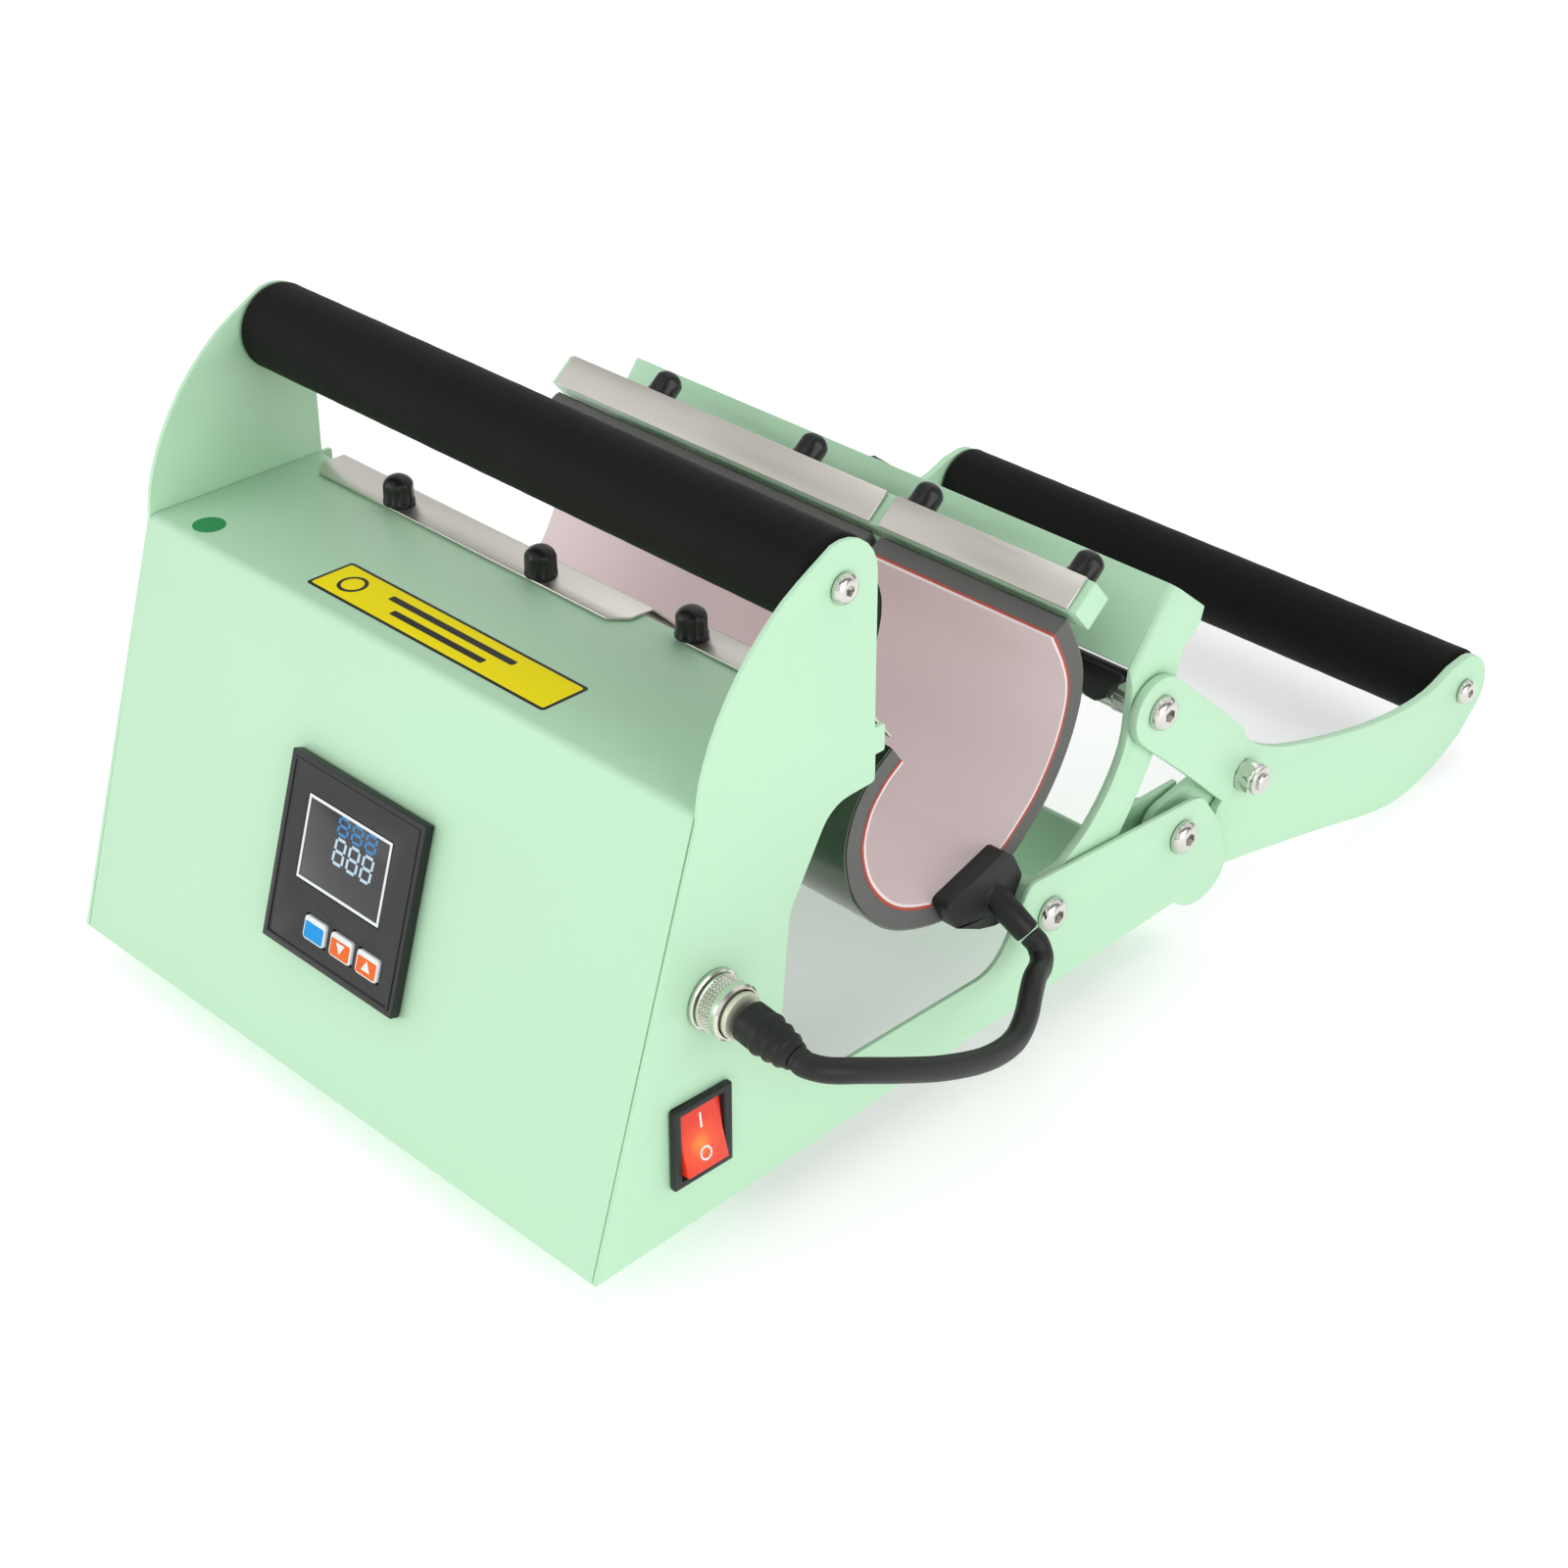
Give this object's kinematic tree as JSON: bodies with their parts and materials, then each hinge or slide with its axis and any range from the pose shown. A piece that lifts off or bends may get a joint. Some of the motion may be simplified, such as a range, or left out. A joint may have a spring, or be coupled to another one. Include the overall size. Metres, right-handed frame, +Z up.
{
  "type": "tumbler heat press",
  "caption": "Bench heat press for tumblers and mugs: sheet-steel control box, curved heating mat and a hand-swung rear clamp frame.",
  "frame": {"origin": "on the floor plane, under the middle of the press's bounding box without its lead", "axes": "+X to the operator's right along the tumbler, +Y from the control panel to the rear grip, +Z up"},
  "size_m": [0.2924, 0.4108, 0.1994],
  "materials": {
    "powder_coat": "satin mint powder coat",
    "steel_strip": "rolled stainless strip",
    "bright_zinc": "bright zinc plated steel",
    "nickel": "nickel plated brass, knurled",
    "foam": "closed-cell foam sleeve",
    "rubber": "matt moulded rubber",
    "sponge": "silicone sponge",
    "plastic": "moulded black plastic",
    "display": "display window",
    "red_rocker": "translucent lit rocker",
    "blue_key": "moulded key",
    "orange_key": "moulded key"
  },
  "bodies": {
    "frame": {"side_plate_right": "powder_coat", "side_plate_left": "powder_coat", "front_cover": "powder_coat", "base_pan": "powder_coat", "rear_channel": "powder_coat", "controller_housing": "plastic", "display_lens": "display", "switch_housing": "plastic", "mat_socket": "nickel", "plug_body": "nickel", "plug_boot": "rubber", "mat_lead": "rubber", "mat_terminal_boot": "rubber", "power_inlet": "plastic", "foot_front_left": "rubber", "foot_front_right": "rubber", "foot_rear_left": "rubber", "foot_rear_right": "rubber", "front_grip_rod": "bright_zinc", "front_grip_foam": "foam", "front_strip_long": "steel_strip", "front_strip_short": "steel_strip", "front_cap_1": "plastic", "front_cap_2": "plastic", "front_cap_3": "plastic", "front_cap_4": "plastic", "mat_front_long": "sponge", "mat_front_short": "sponge", "arm_bolt_left": "bright_zinc", "arm_bolt_right": "bright_zinc", "link_bolt_left": "bright_zinc", "link_bolt_right": "bright_zinc"},
    "clamp_frame": {"clamp_yoke": "powder_coat", "clamp_bar": "powder_coat", "rear_strip_long": "steel_strip", "rear_strip_short": "steel_strip", "rear_cap_1": "plastic", "rear_cap_2": "plastic", "rear_cap_3": "plastic", "rear_cap_4": "plastic", "mat_rear_long": "sponge", "mat_rear_short": "sponge", "bumper_left": "rubber", "bumper_right": "rubber", "tie_rod": "bright_zinc"},
    "rear_handle": {"handle_plate_left": "powder_coat", "handle_plate_right": "powder_coat", "rear_grip_rod": "bright_zinc", "rear_grip_foam": "foam", "toggle_bolt_left": "bright_zinc", "toggle_bolt_right": "bright_zinc"},
    "left_link": {"toggle_link_left": "powder_coat"},
    "right_link": {"toggle_link_right": "powder_coat"},
    "pressure_adjuster": {"pressure_screw": "bright_zinc", "pressure_knob": "plastic"},
    "power_rocker": {"switch_rocker": "red_rocker"},
    "set_key": {"key_set": "blue_key"},
    "down_key": {"key_down": "orange_key"},
    "up_key": {"key_up": "orange_key"},
    "coupling_ring": {"plug_ring": "nickel"}
  },
  "joints": [
    {"name": "clamp_swing", "type": "hinge", "parent": "frame", "child": "clamp_frame", "pos_m": [0, -0.026, 0.0455], "axis": [1, 0, 0], "range_deg": [0, 12]},
    {"name": "handle_pivot", "type": "hinge", "parent": "clamp_frame", "child": "rear_handle", "pos_m": [0, 0.0185, 0.096], "axis": [1, 0, 0], "range_deg": [-5, 0.3]},
    {"name": "left_link_pivot", "type": "hinge", "parent": "frame", "child": "left_link", "pos_m": [0, 0.035, 0.045], "axis": [1, 0, 0], "range_deg": [-0.3, 27.5]},
    {"name": "right_link_pivot", "type": "hinge", "parent": "frame", "child": "right_link", "pos_m": [0, 0.035, 0.045], "axis": [1, 0, 0], "range_deg": [-0.3, 27.5]},
    {"name": "pressure_screw_turn", "type": "hinge", "parent": "clamp_frame", "child": "pressure_adjuster", "pos_m": [-0.013, 0.02575, 0.11667], "axis": [0, 0.7929, -0.6094], "continuous": true},
    {"name": "rocker_tilt", "type": "hinge", "parent": "frame", "child": "power_rocker", "pos_m": [0.1194, -0.1678, 0.0418], "axis": [0, 1, 0], "range_deg": [0, 20]},
    {"name": "coupling_ring_turn", "type": "hinge", "parent": "frame", "child": "coupling_ring", "pos_m": [0.12, -0.162, 0.083], "axis": [1, 0, 0], "continuous": true},
    {"name": "set_key_press", "type": "slide", "parent": "frame", "child": "set_key", "axis": [0, 0.9558, -0.2941], "range_m": [0, 0.0008], "stiffness_N_per_m": 1200, "springref_m": -0.0004},
    {"name": "down_key_press", "type": "slide", "parent": "frame", "child": "down_key", "axis": [0, 0.9558, -0.2941], "range_m": [0, 0.0008], "stiffness_N_per_m": 1200, "springref_m": -0.0004},
    {"name": "up_key_press", "type": "slide", "parent": "frame", "child": "up_key", "axis": [0, 0.9558, -0.2941], "range_m": [0, 0.0008], "stiffness_N_per_m": 1200, "springref_m": -0.0004}
  ],
  "couplings": [
    {"joint": "handle_pivot", "follows": "clamp_swing", "ratio": -0.4},
    {"joint": "left_link_pivot", "follows": "clamp_swing", "ratio": 2.25},
    {"joint": "right_link_pivot", "follows": "clamp_swing", "ratio": 2.25}
  ]
}
